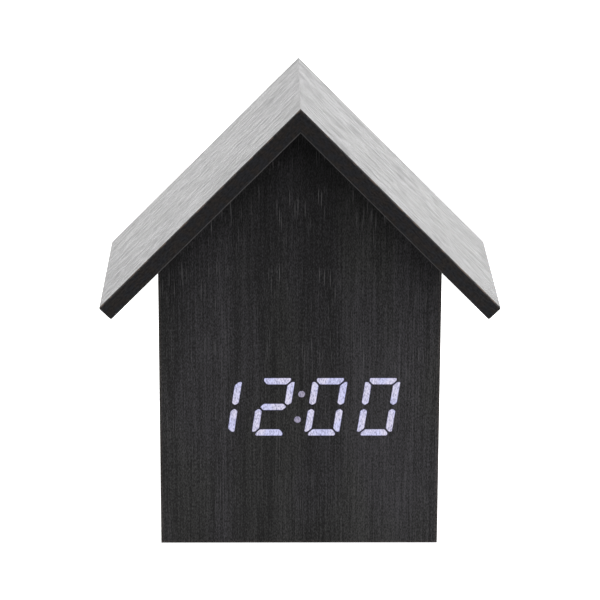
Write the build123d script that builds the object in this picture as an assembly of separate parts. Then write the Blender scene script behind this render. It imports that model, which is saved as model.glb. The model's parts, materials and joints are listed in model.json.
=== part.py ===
from build123d import *
import math
import os

# A house-shaped digital alarm clock, in millimetres: a veneered wooden cabinet whose display
# shines through the front veneer, with a moulded service cover on the back.
# X runs to the right across the front, the front faces -Y and +Z is up.
# The origin is on the underside of the base, below the middle of the roof.

# Cabinet
body_width = 95.4
body_depth = 68.0
apex_height = 155.3
roof_span = 135.0
roof_pitch = 45.4
roof_thickness = 5.8
gable_overhang = 6.0
board_thickness = 5.0
veneer_thickness = 0.6
roof_edge_bevel = 0.4
veneer_edge_radius = 0.3
ridge_batten_width = 22.0
cut_overrun = 1.0

# Display digits, which lean to the right
digit_count = 4
digit_height = 20.85
digit_space = 5.9
digit_lean = 8.5
display_centre_z = 49.85
segment_stroke = 2.4
segment_gap = 0.3
segment_corner_cut = 1.1
segment_middle_gap = 0.6
segment_point = 0.8
colon_dot_diameter = 2.4
colon_dot_sides = 12
colon_dot_spacing = 9.2

# Display module, which fits between the side panels
display_side_gap = 5.2
reflector_margin = 3.0
reflector_depth = 8.0
segment_depth = 6.5
window_gap = 0.25
led_side = 1.2
led_height = 0.7
display_board_thickness = 1.6
display_board_margin = 7.0
display_screw_inset = 3.6
spacer_width = 4.6
spacer_sides = 6
driver_length = 10.4
driver_width = 4.0
driver_height = 1.8
driver_lead_count = 8
driver_drop = 6.0

# Ribbon cable and its two connectors
ribbon_width = 10.0
ribbon_thickness = 1.0
ribbon_run_share = 0.3
ribbon_bend_share = 0.45
connector_width = 14.0
connector_breadth = 5.0
connector_height = 6.0
connector_slot_depth = 3.0
connector_slot_gap = 0.2
display_connector_rise = 10.5
main_connector_rise = 14.5

# Screws, whose threads and bosses are drawn as plain prisms
screw_shank_diameter = 2.2
thread_sides = 8
boss_sides = 8
screw_head_diameter = 4.4
screw_head_height = 1.6
screw_recess_width = 0.7
screw_recess_length = 2.6
screw_recess_depth = 0.8
screw_fit = 0.05
screw_head_gap = 0.3
cover_screw_bite = 7.0
board_screw_bite = 4.5
display_screw_bite = 3.6

# Rear cover and its glue blocks
cover_thickness = 2.2
cover_recess = 0.4
cover_corner_radius = 4.0
service_corner_radius = 3.0
cover_fit = 0.25
cover_ledge = 3.0
cover_rim = 4.0
cover_boss_width = 6.0
cover_boss_gap = 0.5
cover_edge_bevel = 0.4
cover_head_seat = 0.5
glue_block_side = 11.0
glue_block_depth = 9.0
glue_block_gap = 0.5

# Battery cells and their contacts
cell_count = 3
cell_diameter = 10.5
cell_length = 44.5
cell_nub_diameter = 3.8
cell_nub_length = 1.0
cell_pitch = 10.9
cell_floor_gap = 0.2
cell_door_gap = 0.3
cell_contact_gap = 0.1
contact_thickness = 0.4
contact_side = 8.0
contact_tag_width = 3.0
contact_tag_length = 2.0
contact_tag_gap = 0.2
spring_length = 4.6
spring_chord = 7.0
spring_crest = 2.6
spring_width = 5.0
spring_thickness = 0.3

# Battery bay
bay_ledge = 1.1
bay_wall = 1.1
bay_floor = 1.4
bay_top_room = 2.0
bay_rib_width = 1.0
bay_rib_height = 2.2

# Battery door, its hinge tabs and its latch
door_gap = 0.3
door_seat_gap = 0.1
hinge_tab_width = 7.0
hinge_tab_thickness = 1.2
hinge_tab_reach = 1.4
hinge_tab_gap = 0.3
hinge_tab_side_gap = 0.4
hinge_neck_height = 2.0
hinge_tab_spread_share = 0.6
latch_width = 11.0
latch_leaf = 0.8
latch_bend_diameter = 3.0
latch_leg = 1.6
latch_swing_gap = 0.7
latch_cell_gap = 0.5
latch_side_gap = 0.5
latch_lip = 0.9
finger_scoop_diameter = 13.0
finger_scoop_depth = 1.1
grip_rib_count = 4
grip_rib_length = 13.0
grip_rib_width = 0.8
grip_rib_pitch = 2.0
grip_rib_height = 0.3

# Main board and what is on it
board_length = 54.0
board_height = 22.0
board_thick = 1.6
board_gap = 1.0
board_screw_inset = 3.0
board_boss_width = 5.2
button_count = 3
button_pitch = 11.5
button_row_x = -5.5
button_row_rise = 15.5
button_diameter = 7.0
button_flange_width = 9.0
button_flange_sides = 8
button_flange_thickness = 1.0
button_stand = 2.0
button_bevel = 0.6
button_gap = 0.3
button_rest_gap = 0.1
button_travel = 0.5
switch_side = 6.0
switch_height = 3.5
switch_corner_cut = 0.5
plunger_side = 2.8
plunger_reach = 1.5
plunger_depth = 1.2
plunger_fit = 0.08
plunger_end_room = 0.2
usb_x = 18.0
usb_rise = 15.5
usb_width = 7.5
usb_height = 2.5
usb_side_height = 1.3
usb_bevel = 1.0
usb_wall = 0.3
usb_recess = 0.2
usb_hole_gap = 0.25
usb_base_depth = 3.2
usb_base_fit = 0.05
usb_tongue_width = 3.7
usb_tongue_thickness = 0.65
usb_tongue_offset = 0.3
usb_tongue_recess = 0.7
buzzer_x = 13.0
buzzer_rise = 6.6
buzzer_diameter = 12.0
buzzer_height = 5.2
buzzer_port_diameter = 2.2
buzzer_port_depth = 1.2
sound_slot_count = 4
sound_slot_length = 8.0
sound_slot_width = 1.2
sound_slot_pitch = 2.4
microphone_x = -18.0
microphone_rise = 5.5
microphone_diameter = 6.0
microphone_height = 2.7
microphone_hole_diameter = 1.4
thermistor_x = -7.0
thermistor_rise = 4.5
thermistor_disc_diameter = 2.6
thermistor_disc_thickness = 1.2
thermistor_leg_side = 0.5
thermistor_leg_length = 2.4
thermistor_leg_spacing = 1.2
controller_length = 10.4
controller_width = 7.5
controller_height = 2.4
controller_lead_count = 8
controller_rise = 6.0
crystal_x = -17.0
crystal_rise = 16.5
crystal_diameter = 2.0
crystal_length = 6.2
crystal_gap = 0.05
capacitor_x = 12.0
capacitor_pitch = 6.5
capacitor_rise = 16.0
capacitor_diameter = 5.0
capacitor_height = 7.0

# Chip leads, alike on both chips
chip_lead_pitch = 1.27
chip_lead_width = 0.4
chip_lead_thickness = 0.25
chip_lead_reach = 1.1
chip_lead_foot = 0.5
chip_stand_off = 0.15

# Battery leads
lead_diameter = 1.3
lead_sides = 6
lead_bend_radius = 4.5
lead_straight = 3.0
lead_pad_rise = 8.5

# Cabinet planes worked out from the sizes above
pitch_angle = math.radians(roof_pitch)
slope = math.tan(pitch_angle)
under_apex = apex_height - roof_thickness / math.cos(pitch_angle)
half_body = body_width / 2
eave_x = roof_span / 2
roof_depth = body_depth + 2 * gable_overhang
front_y = -body_depth / 2
back_y = body_depth / 2
core_front_y = front_y + veneer_thickness
core_inner_y = core_front_y + board_thickness
back_inner_y = back_y - board_thickness

# Display planes and extents
lean_slope = math.tan(math.radians(digit_lean))
reflector_half_width = half_body - board_thickness - display_side_gap
digits_width = 2 * (reflector_half_width - reflector_margin) - lean_slope * digit_height
digit_pitch = (digits_width + digit_space) / digit_count
digit_width = digit_pitch - digit_space
reflector_half_height = digit_height / 2 + reflector_margin
reflector_back_y = core_front_y + reflector_depth
display_board_back_y = reflector_back_y + display_board_thickness
display_board_half_height = reflector_half_height + display_board_margin
display_screw_x = reflector_half_width - display_screw_inset
display_screw_z = display_board_half_height - display_screw_inset

# Pilot and clearance bore of every screw
screw_bore_diameter = screw_shank_diameter + 2 * screw_fit

# Rear cover planes
cover_outer_y = back_y - cover_recess
cover_inner_y = cover_outer_y - cover_thickness
door_thickness = cover_thickness - door_seat_gap
door_inner_y = cover_outer_y - door_thickness

# Battery bay, from the cells outwards
cell_radius = cell_diameter / 2
bay_half_length = (cell_length + spring_length) / 2 + contact_thickness + cell_contact_gap
door_hole_half_length = bay_half_length + bay_ledge
bay_outer_half_length = door_hole_half_length + bay_wall
latch_room = latch_swing_gap + latch_bend_diameter + latch_cell_gap
bay_inner_height = latch_room + cell_count * cell_pitch + bay_top_room
cell_axis_y = door_inner_y - cell_door_gap - cell_radius
bay_floor_y = cell_axis_y - cell_radius - cell_floor_gap
bay_outer_y = bay_floor_y - bay_floor

# Heights up the rear cover, from the base
service_bottom_z = board_thickness + glue_block_side / 2 + glue_block_gap
bay_outer_bottom_z = service_bottom_z + glue_block_side / 2 + glue_block_gap
door_hole_bottom_z = bay_outer_bottom_z + bay_wall
bay_bottom_z = door_hole_bottom_z + bay_ledge
bay_top_z = bay_bottom_z + bay_inner_height
door_hole_top_z = bay_top_z + bay_ledge
bay_outer_top_z = door_hole_top_z + bay_wall
board_bottom_z = bay_outer_top_z + board_gap
board_top_z = board_bottom_z + board_height
service_top_z = board_top_z + glue_block_side / 2 + glue_block_gap
cover_bottom_z = service_bottom_z - cover_ledge
cover_top_z = service_top_z + cover_ledge
cover_half_width = bay_outer_half_length + cover_rim
service_half_width = cover_half_width - cover_ledge
cover_screw_inset = cover_ledge + cover_boss_width / 2 + cover_boss_gap
cover_screw_x = cover_half_width - cover_screw_inset
cover_screw_zs = (cover_bottom_z + cover_screw_inset, cover_top_z - cover_screw_inset)

# Door hinge axis
hinge_radius = door_thickness / 2
hinge_y = door_inner_y + hinge_radius
hinge_z = door_hole_top_z - door_gap - hinge_radius
door_bottom_z = door_hole_bottom_z + door_gap
door_half_length = door_hole_half_length - door_gap
latch_bottom_z = bay_bottom_z + latch_swing_gap

# Main board planes: a switch, its plunger and a button's flange fit between the board and the cover
board_stand = switch_height + plunger_reach + button_flange_thickness + button_rest_gap
board_back_y = cover_inner_y - board_stand
board_front_y = board_back_y - board_thick
button_names = ("set", "up", "down")
button_xs = [button_row_x + (i - (button_count - 1) / 2) * button_pitch for i in range(button_count)]
button_z = board_bottom_z + button_row_rise
usb_z = board_bottom_z + usb_rise
buzzer_z = board_bottom_z + buzzer_rise
microphone_z = board_bottom_z + microphone_rise
board_screw_x = board_length / 2 - board_screw_inset
board_screw_zs = (board_bottom_z + board_screw_inset, board_top_z - board_screw_inset)

# Cells lie across the bay, one above the other, with their nubs to the right and left in turn
cell_zs = [bay_bottom_z + latch_room + (i + 1 / 2) * cell_pitch for i in range(cell_count)]
cell_sides = [1 if i % 2 == 0 else -1 for i in range(cell_count)]


# Helpers

standing = (Align.CENTER, Align.CENTER, Align.MIN)
hanging = (Align.CENTER, Align.CENTER, Align.MAX)


def wall(outline, front, back):
    """The solid of an outline drawn in X and Z, between two Y planes."""
    plane = Plane((0, back, 0), x_dir=(1, 0, 0), z_dir=(0, -1, 0))
    return extrude(plane * outline, amount=back - front, dir=plane.z_dir)


def beam(outline, left, right):
    """The solid of an outline drawn in Y and Z, between two X planes."""
    plane = Plane((left, 0, 0), x_dir=(0, 1, 0), z_dir=(1, 0, 0))
    return extrude(plane * outline, amount=right - left, dir=plane.z_dir)


def post(x, z, diameter, front, back):
    return wall(Pos(x, z) * Circle(diameter / 2), front, back)


def threaded_hole(x, z, front, back):
    return wall(Pos(x, z) * RegularPolygon(screw_bore_diameter / 2, thread_sides), front, back)


def boss(x, z, width, front, back):
    return wall(Pos(x, z) * RegularPolygon(width / 2, boss_sides), front, back)


def span(left, right, low, high):
    return Pos((left + right) / 2, (low + high) / 2) * Rectangle(right - left, high - low)


def rounded_span(half_width, low, high, radius):
    return Pos(0, (low + high) / 2) * RectangleRounded(2 * half_width, high - low, radius)


def facing_back(x, y, z):
    """Stands what is drawn on the XY plane on a face that looks to the back."""
    return Pos(x, y, z) * Rot(-90, 0, 0)


def facing_front(x, y, z):
    """Stands what is drawn on the XY plane on a face that looks to the front."""
    return Pos(x, y, z) * Rot(90, 0, 0)


def group(solids):
    return Compound(children=list(solids))


def corners(half_width, heights):
    return [(side * half_width, z) for side in (-1, 1) for z in heights]


# Cabinet

outer_faces = {
    "front": (Vector(0, -1, 0), -core_front_y),
    "back": (Vector(0, 1, 0), back_y),
    "left": (Vector(-1, 0, 0), half_body),
    "right": (Vector(1, 0, 0), half_body),
    "base": (Vector(0, 0, -1), 0),
}


def mitred(panel, own, neighbours):
    """Cuts a panel at 45 degrees along each edge where it meets a neighbour."""
    own_normal, own_distance = outer_faces[own]
    for name in neighbours:
        normal, distance = outer_faces[name]
        corner = own_normal * own_distance + normal * distance
        panel = split(panel, bisect_by=Plane(corner, z_dir=own_normal - normal), keep=Keep.TOP)
    return panel


def gable_outline():
    shoulder_z = under_apex - half_body * slope
    right = [(half_body, 0), (half_body, shoulder_z)]
    return Polygon(*right, (0, under_apex), *[(-x, z) for x, z in reversed(right)])


def front_veneer():
    sheet = wall(gable_outline(), front_y, core_front_y)
    face_edges = sheet.faces().sort_by(Axis.Y)[0].edges()
    return fillet(face_edges.filter_by(Axis.Z) + face_edges.filter_by(Axis.X), veneer_edge_radius)


def front_panel():
    panel = mitred(wall(gable_outline(), core_front_y, core_inner_y), "front", ("left", "right", "base"))
    window = display_span(reflector_half_width + window_gap, reflector_half_height + window_gap)
    panel -= wall(window, core_front_y - cut_overrun, core_inner_y + cut_overrun)
    for x, z in display_screw_places():
        panel -= threaded_hole(x, z, core_inner_y - display_screw_bite, core_inner_y)
    return panel


def back_panel():
    panel = mitred(wall(gable_outline(), back_inner_y, back_y), "back", ("left", "right", "base"))
    rebate = rounded_span(
        cover_half_width + cover_fit,
        cover_bottom_z - cover_fit,
        cover_top_z + cover_fit,
        cover_corner_radius + cover_fit,
    )
    opening = rounded_span(service_half_width, service_bottom_z, service_top_z, service_corner_radius)
    panel -= wall(rebate, cover_inner_y, back_y + cut_overrun)
    return panel - wall(opening, back_inner_y - cut_overrun, cover_inner_y)


def below_roof(solid, side, gap):
    """What of a solid on the left (-1) or right (1) lies under that roof board, with a gap above it."""
    underside = Plane((0, 0, under_apex - gap / math.cos(pitch_angle)), z_dir=(side * slope, 0, 1))
    return split(solid, bisect_by=underside, keep=Keep.BOTTOM)


def side_panel(name):
    side = 1 if name == "right" else -1
    left, right = sorted((side * half_body, side * (half_body - board_thickness)))
    slab = beam(span(core_front_y, back_y, 0, under_apex), left, right)
    return mitred(below_roof(slab, side, 0), name, ("front", "back", "base"))


def base_panel():
    slab = wall(span(-half_body, half_body, 0, board_thickness), core_front_y, back_y)
    return mitred(slab, "base", ("front", "back", "left", "right"))


def roof_board_right():
    eave_z = apex_height - eave_x * slope
    inset = roof_thickness * math.sin(pitch_angle)
    drop = roof_thickness * math.cos(pitch_angle)
    outline = Polygon((0, apex_height), (eave_x, eave_z), (eave_x - inset, eave_z - drop), (0, under_apex))
    board = wall(outline, -roof_depth / 2, roof_depth / 2)
    mitre_edges = board.faces().sort_by(Axis.X)[0].edges()
    return chamfer(board.edges() - mitre_edges, roof_edge_bevel)


def ridge_batten():
    half = ridge_batten_width / 2
    foot_z = under_apex - half * slope
    return wall(Polygon((0, under_apex), (half, foot_z), (-half, foot_z)), core_inner_y, back_inner_y)


def glue_blocks():
    half = glue_block_side / 2
    for x, z in corners(service_half_width, (service_bottom_z, service_top_z)):
        outline = span(x - half, x + half, z - half, z + half)
        block = wall(outline, back_inner_y - glue_block_depth, back_inner_y)
        block = below_roof(block, math.copysign(1, x), glue_block_gap)
        screw_x, screw_z = min(cover_screw_places(), key=lambda place: math.dist(place, (x, z)))
        hole_front = back_inner_y - cover_screw_bite - screw_fit
        yield block - threaded_hole(screw_x, screw_z, hole_front, back_inner_y)


# Screws

def pan_screw(shank_length):
    """A screw along Z, with the underside of its head at zero."""
    head = Cylinder(screw_head_diameter / 2, screw_head_height, align=standing)
    return head + extrude(RegularPolygon(screw_shank_diameter / 2, thread_sides), amount=-shank_length)


def cross_recessed(screw):
    slot = Box(screw_recess_length, screw_recess_width, screw_recess_depth, align=hanging)
    for turn in (0, 90):
        screw -= Pos(0, 0, screw_head_height) * Rot(0, 0, turn) * slot
    return screw


def cover_screw_places():
    return corners(cover_screw_x, cover_screw_zs)


def board_screw_places():
    low, high = board_screw_zs
    return [(-board_screw_x, low), (board_screw_x, high)]


def display_screw_places():
    low, high = display_centre_z - display_screw_z, display_centre_z + display_screw_z
    return [(-display_screw_x, low), (display_screw_x, high)]


def rear_cover_screws():
    head_seat_y = cover_inner_y + cover_head_seat
    screw = cross_recessed(pan_screw(head_seat_y - back_inner_y + cover_screw_bite))
    return [facing_back(x, head_seat_y, z) * screw for x, z in cover_screw_places()]


def main_board_screws():
    screw = pan_screw(board_thick + board_screw_bite)
    return [facing_front(x, board_front_y, z) * screw for x, z in board_screw_places()]


def display_screws():
    screw = pan_screw(display_board_back_y - core_inner_y + display_screw_bite - screw_fit)
    return [facing_back(x, display_board_back_y, z) * screw for x, z in display_screw_places()]


# Display

def display_span(half_width, half_height):
    return Pos(0, display_centre_z) * Rectangle(2 * half_width, 2 * half_height)


def leaned(points):
    return [(x + lean_slope * z, z) for x, z in points]


def segment_outlines():
    """The seven segments of one digit about its own middle, each as corner points before leaning."""
    half_w = digit_width / 2
    half_h = digit_height / 2
    stroke = segment_stroke
    gap = segment_gap
    cut = segment_corner_cut
    top = [
        (-half_w + gap + cut, half_h),
        (half_w - gap - cut, half_h),
        (half_w - gap - cut, half_h - cut),
        (half_w - stroke - gap, half_h - stroke),
        (-half_w + stroke + gap, half_h - stroke),
        (-half_w + gap + cut, half_h - cut),
    ]
    upper_right = [
        (half_w, half_h - gap - cut),
        (half_w - cut, half_h - gap - cut),
        (half_w - stroke, half_h - stroke - gap),
        (half_w - stroke, segment_middle_gap + segment_point),
        (half_w - stroke / 2, segment_middle_gap),
        (half_w, segment_middle_gap + segment_point),
    ]
    middle = [
        (-half_w + stroke / 2 + gap, 0),
        (-half_w + stroke + gap, stroke / 2),
        (half_w - stroke - gap, stroke / 2),
        (half_w - stroke / 2 - gap, 0),
        (half_w - stroke - gap, -stroke / 2),
        (-half_w + stroke + gap, -stroke / 2),
    ]
    outlines = [top, middle, [(x, -z) for x, z in top]]
    for across in (-1, 1):
        for up in (-1, 1):
            outlines.append([(across * x, up * z) for x, z in upper_right])
    return outlines


def light_wells():
    """Every segment of every digit and both colon dots, each with the middle of its outline."""
    wells = []
    for i in range(digit_count):
        centre = Pos((i - (digit_count - 1) / 2) * digit_pitch, display_centre_z)
        wells += [centre * Polygon(*leaned(outline)) for outline in segment_outlines()]
    dot = RegularPolygon(colon_dot_diameter / 2, colon_dot_sides)
    for dot_z in (-colon_dot_spacing / 2, colon_dot_spacing / 2):
        wells.append(Pos(lean_slope * dot_z, display_centre_z + dot_z) * dot)
    return [(well, well.center(CenterOf.BOUNDING_BOX)) for well in wells]


def display_reflector():
    outline = display_span(reflector_half_width, reflector_half_height)
    outline -= [well for well, middle in light_wells()]
    return wall(outline, core_front_y, reflector_back_y)


def display_segments():
    return [wall(well, core_front_y, core_front_y + segment_depth) for well, middle in light_wells()]


def led_chips():
    half = led_side / 2
    for well, middle in light_wells():
        die = span(middle.X - half, middle.X + half, middle.Y - half, middle.Y + half)
        yield wall(die, reflector_back_y - led_height, reflector_back_y)


def display_board():
    outline = display_span(reflector_half_width, display_board_half_height)
    board = wall(outline, reflector_back_y, display_board_back_y)
    for x, z in display_screw_places():
        board -= threaded_hole(x, z, reflector_back_y, display_board_back_y)
    return board


def display_spacers():
    outline = RegularPolygon(spacer_width / 2, spacer_sides, major_radius=False)
    for x, z in display_screw_places():
        pillar = wall(Pos(x, z) * outline, core_inner_y, reflector_back_y)
        yield pillar - threaded_hole(x, z, core_inner_y, reflector_back_y)


def gull_wing_chip(length, width, height, leads_per_side):
    """A chip standing on the XY plane, with bent leads along both long sides."""
    body = Pos(0, 0, chip_stand_off) * Box(length, width, height - chip_stand_off, align=standing)
    side = width / 2
    knee = side + chip_lead_reach - chip_lead_foot
    toe = side + chip_lead_reach
    thick = chip_lead_thickness
    waist = height / 2
    half_profile = [
        (side, waist + thick),
        (knee, thick),
        (toe, thick),
        (toe, 0),
        (knee - thick, 0),
        (side - thick, waist),
    ]
    staple = Polygon(*half_profile, *[(-y, z) for y, z in reversed(half_profile)])
    for i in range(leads_per_side):
        x = (i - (leads_per_side - 1) / 2) * chip_lead_pitch
        body += beam(staple, x - chip_lead_width / 2, x + chip_lead_width / 2)
    return body


def display_driver_chip():
    chip = gull_wing_chip(driver_length, driver_width, driver_height, driver_lead_count)
    return facing_back(0, display_board_back_y, display_centre_z - driver_drop) * chip


def connector():
    """A ribbon socket standing on the XY plane, with its slot open at the top."""
    block = Box(connector_width, connector_breadth, connector_height, align=standing)
    slot_width = ribbon_width + 2 * connector_slot_gap
    slot_breadth = ribbon_thickness + 2 * connector_slot_gap
    slot = Box(slot_width, slot_breadth, connector_slot_depth, align=hanging)
    return block - Pos(0, 0, connector_height) * slot


def display_connector():
    return facing_back(0, display_board_back_y, display_centre_z + display_connector_rise) * connector()


def main_connector():
    return facing_front(0, board_front_y, board_bottom_z + main_connector_rise) * connector()


def ribbon_ends():
    """The two ends of the ribbon, in Y and Z, each just clear of the bottom of its socket's slot."""
    reach = connector_height - connector_slot_depth + connector_slot_gap
    start = Vector(display_board_back_y + reach, display_centre_z + display_connector_rise)
    end = Vector(board_front_y - reach, board_bottom_z + main_connector_rise)
    return start, end


def ribbon_cable():
    start, end = ribbon_ends()
    run = Vector(ribbon_run_share * (end.X - start.X), 0)
    route = [start, start + run, end - run, end]
    turn = math.radians(run.get_angle(route[2] - route[1]))
    shorter = min(run.length, (route[2] - route[1]).length)
    radius = ribbon_bend_share * shorter / math.tan(turn / 2)
    path = FilletPolyline(*[(0, point.X, point.Y) for point in route], radius=radius)
    section = Plane(path @ 0, x_dir=(1, 0, 0), z_dir=path % 0) * Rectangle(ribbon_width, ribbon_thickness)
    return sweep(section, path=path)


# Rear cover

def usb_outline():
    half_w = usb_width / 2
    half_h = usb_height / 2
    knee_z = half_h - usb_side_height
    right = [(half_w, half_h), (half_w, knee_z), (half_w - usb_bevel, -half_h)]
    return Polygon(*right, *[(-x, z) for x, z in reversed(right)])


def sound_slots():
    half = sound_slot_length / 2
    for i in range(sound_slot_count):
        low = buzzer_z + (i - (sound_slot_count - 1) / 2) * sound_slot_pitch - sound_slot_width / 2
        yield span(buzzer_x - half, buzzer_x + half, low, low + sound_slot_width)


def hinge_tab_xs():
    return [side * hinge_tab_spread_share * door_half_length for side in (-1, 1)]


def battery_bay():
    """The moulded box behind the cover, with ribs between the cells and slots for the solder tags."""
    outer = span(-bay_outer_half_length, bay_outer_half_length, bay_outer_bottom_z, bay_outer_top_z)
    inner = span(-bay_half_length, bay_half_length, bay_bottom_z, bay_top_z)
    bay = wall(outer, bay_outer_y, cover_inner_y) - wall(inner, bay_floor_y, cover_inner_y)
    rib_half_length = bay_half_length - spring_length - contact_thickness
    rib_top_y = bay_floor_y + bay_rib_height
    for low, high in zip(cell_zs, cell_zs[1:]):
        middle = (low + high) / 2
        rib = span(-rib_half_length, rib_half_length, middle - bay_rib_width / 2, middle + bay_rib_width / 2)
        bay += wall(rib, bay_floor_y, rib_top_y)
    tag_half = contact_tag_width / 2 + contact_tag_gap
    tag_depth = contact_thickness + contact_tag_gap
    for x, z in tag_places():
        left, right = sorted((x, x - math.copysign(tag_depth, x)))
        bay -= wall(span(left, right, z - tag_half, z + tag_half), bay_outer_y - cut_overrun, bay_floor_y)
    return bay


def rear_cover():
    plate_outline = rounded_span(cover_half_width, cover_bottom_z, cover_top_z, cover_corner_radius)
    plate = wall(plate_outline, cover_inner_y, cover_outer_y)
    plate = chamfer(plate.faces().sort_by(Axis.Y)[-1].edges(), cover_edge_bevel)
    cover = plate + battery_bay()
    door_hole = span(-door_hole_half_length, door_hole_half_length, door_hole_bottom_z, door_hole_top_z)
    past_y = cover_outer_y + cut_overrun
    cover -= wall(door_hole, cover_inner_y, past_y)
    cover -= post(0, door_hole_bottom_z, finger_scoop_diameter, cover_outer_y - finger_scoop_depth, past_y)
    cover = with_hinge_slots(cover)
    cover = with_screw_bosses(cover)
    for x in button_xs:
        cover -= post(x, button_z, button_diameter + 2 * button_gap, cover_inner_y, past_y)
    usb_hole = offset(usb_outline(), amount=usb_hole_gap, kind=Kind.INTERSECTION)
    cover -= wall(Pos(usb_x, usb_z) * usb_hole, cover_inner_y, past_y)
    for slot in sound_slots():
        cover -= wall(slot, cover_inner_y, past_y)
    return cover - post(microphone_x, microphone_z, microphone_hole_diameter, cover_inner_y, past_y)


def with_hinge_slots(cover):
    """Lets the door's two hooked tabs through the upper wall of the bay and behind the cover."""
    swing = math.hypot(hinge_tab_outer_depth(), hinge_tab_top())
    half = hinge_tab_width / 2 + hinge_tab_side_gap
    for x in hinge_tab_xs():
        slot = span(x - half, x + half, bay_top_z, hinge_z + swing + hinge_tab_gap)
        cover -= wall(slot, hinge_y - swing - hinge_tab_gap, cover_inner_y)
    return cover


def with_screw_bosses(cover):
    """Adds the bosses that the cover's own screws pass through and those that carry the main board."""
    head_hole = screw_head_diameter + 2 * screw_head_gap
    for x, z in cover_screw_places():
        cover += boss(x, z, cover_boss_width, back_inner_y, cover_inner_y)
        cover -= threaded_hole(x, z, back_inner_y, cover_outer_y)
        cover -= post(x, z, head_hole, cover_inner_y + cover_head_seat, cover_outer_y + cut_overrun)
    for x, z in board_screw_places():
        cover += boss(x, z, board_boss_width, board_back_y, cover_inner_y)
        cover -= threaded_hole(x, z, board_back_y, board_back_y + board_screw_bite + screw_fit)
    return cover


# Battery door: its top edge is rounded about the hinge axis, and its tabs hook behind the cover

def hinge_tab_outer_depth():
    return hinge_radius + door_seat_gap + hinge_tab_gap + hinge_tab_thickness


def hinge_tab_top():
    return hinge_radius + door_gap + hinge_tab_reach


def battery_door():
    profile = span(door_inner_y, cover_outer_y, door_bottom_z, hinge_z)
    profile += Pos(hinge_y, hinge_z) * Circle(hinge_radius)
    door = beam(profile, -door_half_length, door_half_length)
    tab_inner_y = hinge_y - hinge_tab_outer_depth()
    tab_bottom_z = hinge_z - hinge_neck_height
    hook = span(tab_inner_y, tab_inner_y + hinge_tab_thickness, tab_bottom_z, hinge_z + hinge_tab_top())
    neck = span(tab_inner_y, door_inner_y, tab_bottom_z, hinge_z - hinge_tab_gap)
    for x in hinge_tab_xs():
        door += beam(hook + neck, x - hinge_tab_width / 2, x + hinge_tab_width / 2)
    notch_half = latch_width / 2 + latch_side_gap
    notch_top_z = latch_bottom_z + latch_bend_diameter - latch_leaf
    notch = span(-notch_half, notch_half, door_bottom_z - cut_overrun, notch_top_z)
    door -= wall(notch, door_inner_y - cut_overrun, cover_outer_y + cut_overrun)
    door += beam(latch_profile(), -latch_width / 2, latch_width / 2)
    return door + grip_ribs(notch_top_z)


def latch_profile():
    """A U-shaped leaf below the door's edge: in from the door, round, and out again to a finger lip."""
    bend_radius = latch_bend_diameter / 2
    bend_y = door_inner_y - latch_leg
    bend_z = latch_bottom_z + bend_radius
    latch_top_z = latch_bottom_z + latch_bend_diameter
    ring = Circle(bend_radius) - Circle(bend_radius - latch_leaf)
    ring &= span(-bend_radius, 0, -bend_radius, bend_radius)
    upper_leg = span(bend_y, door_inner_y, latch_top_z - latch_leaf, latch_top_z)
    lower_leg = span(bend_y, cover_outer_y, latch_bottom_z, latch_bottom_z + latch_leaf)
    lip = span(cover_outer_y - latch_lip, cover_outer_y, latch_bottom_z, latch_bottom_z + 2 * latch_leaf)
    return Pos(bend_y, bend_z) * ring + upper_leg + lower_leg + lip


def grip_ribs(notch_top_z):
    ribs = []
    for i in range(grip_rib_count):
        z = notch_top_z + (i + 1) * grip_rib_pitch
        outline = Pos(0, z) * Rectangle(grip_rib_length, grip_rib_width)
        ribs.append(wall(outline, cover_outer_y, cover_outer_y + grip_rib_height))
    return ribs


# Cells and contacts

def battery_cell(index):
    """One cell along X, its nub against its contact plate."""
    can_length = cell_length - cell_nub_length
    can = Cylinder(cell_radius, can_length, align=standing)
    nub = Cylinder(cell_nub_diameter / 2, cell_nub_length, align=standing)
    cell = can + Pos(0, 0, can_length) * nub
    tip_x = bay_half_length - contact_thickness - cell_contact_gap
    side = cell_sides[index]
    return Pos(side * (tip_x - cell_length), cell_axis_y, cell_zs[index]) * Rot(0, side * 90, 0) * cell


def tag_places():
    """Where the first and the last cell's solder tags leave the bay."""
    return [(-cell_sides[0] * bay_half_length, cell_zs[0]), (cell_sides[-1] * bay_half_length, cell_zs[-1])]


def contact_plate(side, low_z, high_z):
    half = contact_side / 2
    left, right = sorted((side * bay_half_length, side * (bay_half_length - contact_thickness)))
    return wall(span(left, right, low_z - half, high_z + half), cell_axis_y - half, cell_axis_y + half)


def battery_contacts():
    """Single plates with solder tags at the two ends of the row, and plates that bridge two cells between."""
    plates = []
    half_tag = contact_tag_width / 2
    for x, z in tag_places():
        side = math.copysign(1, x)
        left, right = sorted((x, x - side * contact_thickness))
        outline = span(left, right, z - half_tag, z + half_tag)
        tag = wall(outline, bay_outer_y - contact_tag_length, cell_axis_y)
        plates.append(contact_plate(side, z, z) + tag)
    for i in range(cell_count - 1):
        plates.append(contact_plate(cell_sides[i], cell_zs[i], cell_zs[i + 1]))
    return plates


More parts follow.
